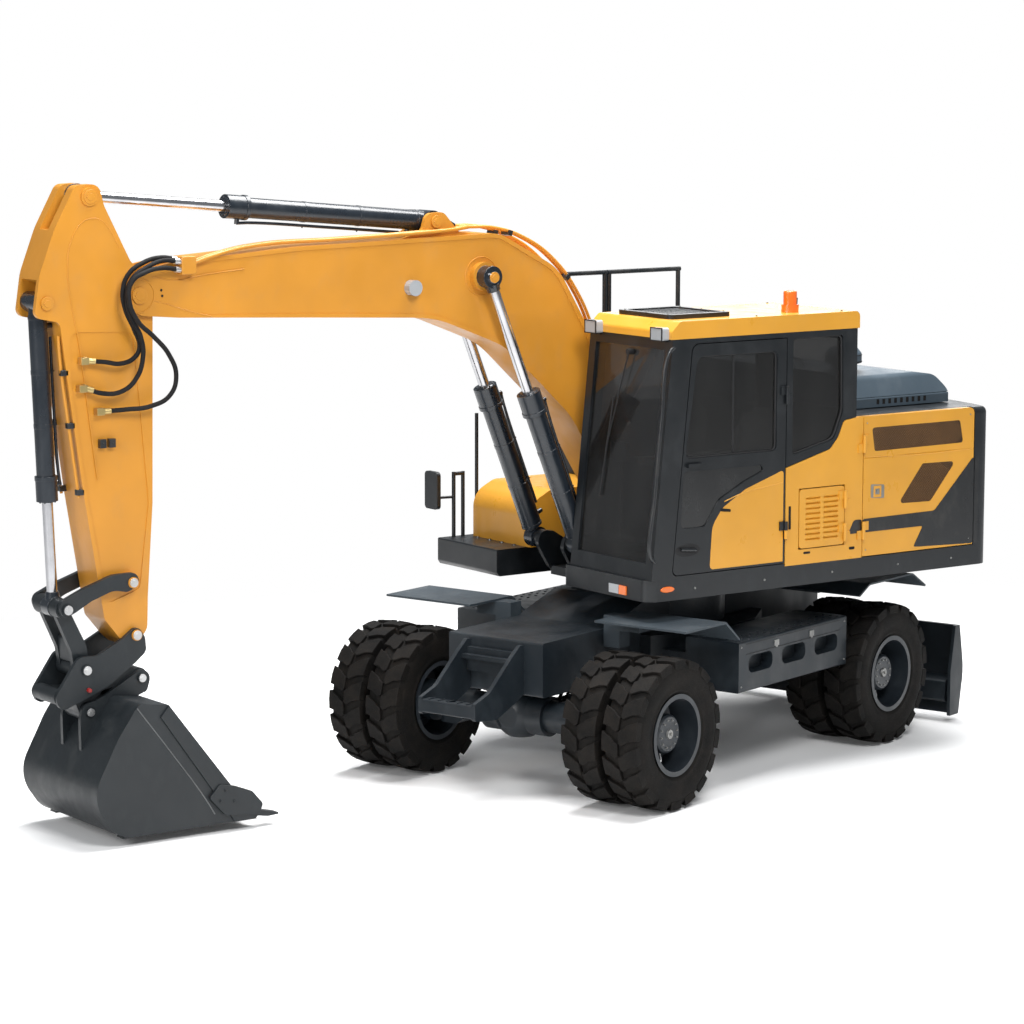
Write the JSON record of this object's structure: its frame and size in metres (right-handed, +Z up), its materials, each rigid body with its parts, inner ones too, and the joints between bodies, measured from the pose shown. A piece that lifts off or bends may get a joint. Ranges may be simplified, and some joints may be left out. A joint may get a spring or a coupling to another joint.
{
  "type": "wheeled excavator",
  "caption": "Wheeled excavator on twin tyres with slewing house, cab, boom, arm, quick-coupled bucket and rear dozer blade.",
  "frame": {"origin": "middle of the machine's box at ground level", "axes": "+Z up, +X forward along the boom, +Y to the operator's left; the chassis stands 17.7 degrees turned under the house"},
  "size_m": [7.4136, 3.7054, 4.104],
  "materials": {
    "body_yellow": "amber yellow paint",
    "boom_yellow": "amber yellow paint",
    "chassis_grey": "dark blue-grey paint",
    "house_grey": "dark blue-grey paint",
    "bucket_grey": "dark grey paint",
    "cylinder_black": "black paint",
    "rod_chrome": "hard chrome",
    "tyre_rubber": "worn tread rubber",
    "rim_grey": "dark grey rim paint",
    "window_glass": "tinted safety glass",
    "lamp_lens": "lamp lenses",
    "lamp_clear": "clear lamp lenses",
    "seat_fabric": "woven seat cloth",
    "seat_plastic": "moulded plastic",
    "rail_black": "black rails",
    "engine_iron": "painted iron"
  },
  "bodies": {
    "chassis": {"chassis_frame": "chassis_grey", "hitch_bracket": "chassis_grey", "mudguards": "chassis_grey", "step_boxes": "chassis_grey", "front_axle": "chassis_grey", "rear_axle": "chassis_grey"},
    "left_steer": {"left_knuckle": "chassis_grey"},
    "right_steer": {"right_knuckle": "chassis_grey"},
    "front_left_wheel": {"front_left_tyres": "tyre_rubber", "front_left_rims": "rim_grey"},
    "front_right_wheel": {"front_right_tyres": "tyre_rubber", "front_right_rims": "rim_grey"},
    "rear_left_wheel": {"rear_left_tyres": "tyre_rubber", "rear_left_rims": "rim_grey"},
    "rear_right_wheel": {"rear_right_tyres": "tyre_rubber", "rear_right_rims": "rim_grey"},
    "blade": {"dozer_blade": "chassis_grey"},
    "blade_barrels": {"blade_cylinder_barrels": "cylinder_black"},
    "blade_rods": {"blade_cylinder_rods": "rod_chrome"},
    "house": {"house_platform": "house_grey", "counterweight": "house_grey", "left_side_panel": "body_yellow", "right_side_panel": "body_yellow", "engine_bulkhead": "house_grey", "steering_column": "seat_plastic", "engine_block": "engine_iron", "fuel_tank": "body_yellow", "front_step_box": "house_grey", "handrails": "rail_black", "cab_frame": "house_grey", "cab_roof": "body_yellow", "cab_glass": "window_glass", "seat_base": "seat_plastic", "seat_cushion": "seat_fabric", "lamps": "lamp_lens", "work_lamps": "lamp_clear", "roof_hatch": "house_grey"},
    "cab_door_body": {"cab_door": "house_grey", "cab_door_panel": "body_yellow", "door_glass": "window_glass"},
    "service_door_body": {"left_service_door": "body_yellow"},
    "left_engine_door_body": {"left_engine_door": "body_yellow"},
    "right_engine_door_body": {"right_engine_door": "body_yellow"},
    "hood_body": {"engine_hood": "house_grey"},
    "boom_body": {"boom": "boom_yellow", "boom_lamp": "lamp_clear"},
    "lift_barrels": {"boom_cylinder_barrels": "cylinder_black"},
    "lift_rods": {"boom_cylinder_rods": "rod_chrome"},
    "arm_body": {"arm": "boom_yellow"},
    "arm_barrel": {"arm_cylinder_barrel": "cylinder_black"},
    "arm_rod": {"arm_cylinder_rod": "rod_chrome"},
    "curl_barrel": {"bucket_cylinder_barrel": "cylinder_black"},
    "curl_rod": {"bucket_cylinder_rod": "rod_chrome"},
    "tipping_body": {"tipping_links": "bucket_grey"},
    "link_body": {"connecting_link": "bucket_grey"},
    "bucket_body": {"quick_coupler": "bucket_grey", "bucket": "bucket_grey"}
  },
  "joints": [
    {"name": "slew", "type": "hinge", "parent": "chassis", "child": "house", "pos_m": [-1.15, 0.03, 1.236], "axis": [0, 0, 1], "continuous": true},
    {"name": "boom_lift", "type": "hinge", "parent": "house", "child": "boom_body", "pos_m": [-0.9, 0.03, 1.8], "axis": [0, -1, 0], "range_deg": [-44, 33]},
    {"name": "arm_swing", "type": "hinge", "parent": "boom_body", "child": "arm_body", "pos_m": [3.027, 0.03, 3.408], "axis": [0, -1, 0], "range_deg": [-18, 80]},
    {"name": "bucket_curl", "type": "hinge", "parent": "arm_body", "child": "bucket_body", "pos_m": [3.08, 0.03, 1.271], "axis": [0, 1, 0], "range_deg": [-60, 57]},
    {"name": "boom_cylinder_swing", "type": "hinge", "parent": "house", "child": "lift_barrels", "pos_m": [-0.33, 0.03, 1.56], "axis": [0, -1, 0], "range_deg": [-45.68, 34.39]},
    {"name": "boom_cylinder_stroke", "type": "slide", "parent": "lift_barrels", "child": "lift_rods", "axis": [0.3752, 0, 0.9269], "range_m": [-0.45099, 0.33874]},
    {"name": "arm_cylinder_swing", "type": "hinge", "parent": "boom_body", "child": "arm_barrel", "pos_m": [0.755, 0.03, 3.795], "axis": [0, -1, 0], "range_deg": [-0.9, 2.28]},
    {"name": "arm_cylinder_stroke", "type": "slide", "parent": "arm_barrel", "child": "arm_rod", "axis": [0.9959, 0, 0.0902], "range_m": [-0.92109, 0.20879]},
    {"name": "bucket_cylinder_swing", "type": "hinge", "parent": "arm_body", "child": "curl_barrel", "pos_m": [3.655, 0.03, 3.385], "axis": [0, -1, 0], "range_deg": [-2.77, 2.9]},
    {"name": "bucket_cylinder_stroke", "type": "slide", "parent": "curl_barrel", "child": "curl_rod", "axis": [-0.0404, 0, -0.9992], "range_m": [-0.38651, 0.36728]},
    {"name": "tipping_link_swing", "type": "hinge", "parent": "arm_body", "child": "tipping_body", "pos_m": [3.112, 0.03, 1.612], "axis": [0, -1, 0], "range_deg": [-47.09, 49.54]},
    {"name": "connecting_link_swing", "type": "hinge", "parent": "bucket_body", "child": "link_body", "pos_m": [3.438, 0.03, 1.083], "axis": [0, -1, 0], "range_deg": [-47.6, 45.25]},
    {"name": "blade_lift", "type": "hinge", "parent": "chassis", "child": "blade", "pos_m": [-2.71237, -0.46861, 0.5], "axis": [-0.304, 0.9527, 0], "range_deg": [-9, 36]},
    {"name": "blade_cylinder_swing", "type": "hinge", "parent": "chassis", "child": "blade_barrels", "pos_m": [-2.73332, -0.4753, 0.95], "axis": [0.304, -0.9527, 0], "range_deg": [-17.67, 4.79]},
    {"name": "blade_cylinder_stroke", "type": "slide", "parent": "blade_barrels", "child": "blade_rods", "axis": [-0.5766, -0.184, -0.796], "range_m": [-0.2067, 0.05318]},
    {"name": "steering_left", "type": "hinge", "parent": "chassis", "child": "left_steer", "pos_m": [0.12515, 1.06677, 0.505], "axis": [0, 0, 1], "range_deg": [-27, 27]},
    {"name": "steering_right", "type": "hinge", "parent": "chassis", "child": "right_steer", "pos_m": [0.48999, -0.07643, 0.505], "axis": [0, 0, 1], "range_deg": [-27, 27]},
    {"name": "front_left_spin", "type": "hinge", "parent": "left_steer", "child": "front_left_wheel", "pos_m": [0.01023, 1.42687, 0.505], "axis": [-0.304, 0.9527, 0], "continuous": true},
    {"name": "front_right_spin", "type": "hinge", "parent": "right_steer", "child": "front_right_wheel", "pos_m": [0.60492, -0.43653, 0.505], "axis": [-0.304, 0.9527, 0], "continuous": true},
    {"name": "rear_left_spin", "type": "hinge", "parent": "chassis", "child": "rear_left_wheel", "pos_m": [-2.58101, 0.5999, 0.505], "axis": [-0.304, 0.9527, 0], "continuous": true},
    {"name": "rear_right_spin", "type": "hinge", "parent": "chassis", "child": "rear_right_wheel", "pos_m": [-1.98632, -1.2635, 0.505], "axis": [-0.304, 0.9527, 0], "continuous": true},
    {"name": "cab_door_swing", "type": "hinge", "parent": "house", "child": "cab_door_body", "pos_m": [-1.322, 1.29, 2.2], "axis": [0, 0, 1], "range_deg": [0, 150]},
    {"name": "service_door_swing", "type": "hinge", "parent": "house", "child": "service_door_body", "pos_m": [-1.85, 1.29, 1.76], "axis": [0, 0, -1], "range_deg": [-110, 0]},
    {"name": "left_engine_door_swing", "type": "hinge", "parent": "house", "child": "left_engine_door_body", "pos_m": [-2.018, 1.29, 1.94], "axis": [0, 0, 1], "range_deg": [-95, 0]},
    {"name": "right_engine_door_swing", "type": "hinge", "parent": "house", "child": "right_engine_door_body", "pos_m": [-2.018, -1.23, 1.94], "axis": [0, 0, 1], "range_deg": [0, 95]},
    {"name": "hood_lift", "type": "hinge", "parent": "house", "child": "hood_body", "pos_m": [-3.13, 0.03, 2.443], "axis": [0, -1, 0], "range_deg": [0, 60]}
  ],
  "couplings": [
    {"joint": "boom_cylinder_swing", "follows": "boom_lift", "ratio": 1.0269},
    {"joint": "boom_cylinder_stroke", "follows": "boom_lift", "m_per_rad": 0.58466},
    {"joint": "arm_cylinder_swing", "follows": "arm_swing", "ratio": 0.022234},
    {"joint": "arm_cylinder_stroke", "follows": "arm_swing", "m_per_rad": -0.65825},
    {"joint": "bucket_cylinder_swing", "follows": "bucket_curl", "ratio": -0.039919},
    {"joint": "bucket_cylinder_stroke", "follows": "bucket_curl", "m_per_rad": 0.36718},
    {"joint": "tipping_link_swing", "follows": "bucket_curl", "ratio": -0.81737},
    {"joint": "connecting_link_swing", "follows": "bucket_curl", "ratio": 0.78504},
    {"joint": "blade_cylinder_swing", "follows": "blade_lift", "ratio": -0.47699},
    {"joint": "blade_cylinder_stroke", "follows": "blade_lift", "m_per_rad": -0.32579},
    {"joint": "steering_right", "follows": "steering_left", "ratio": 1}
  ]
}
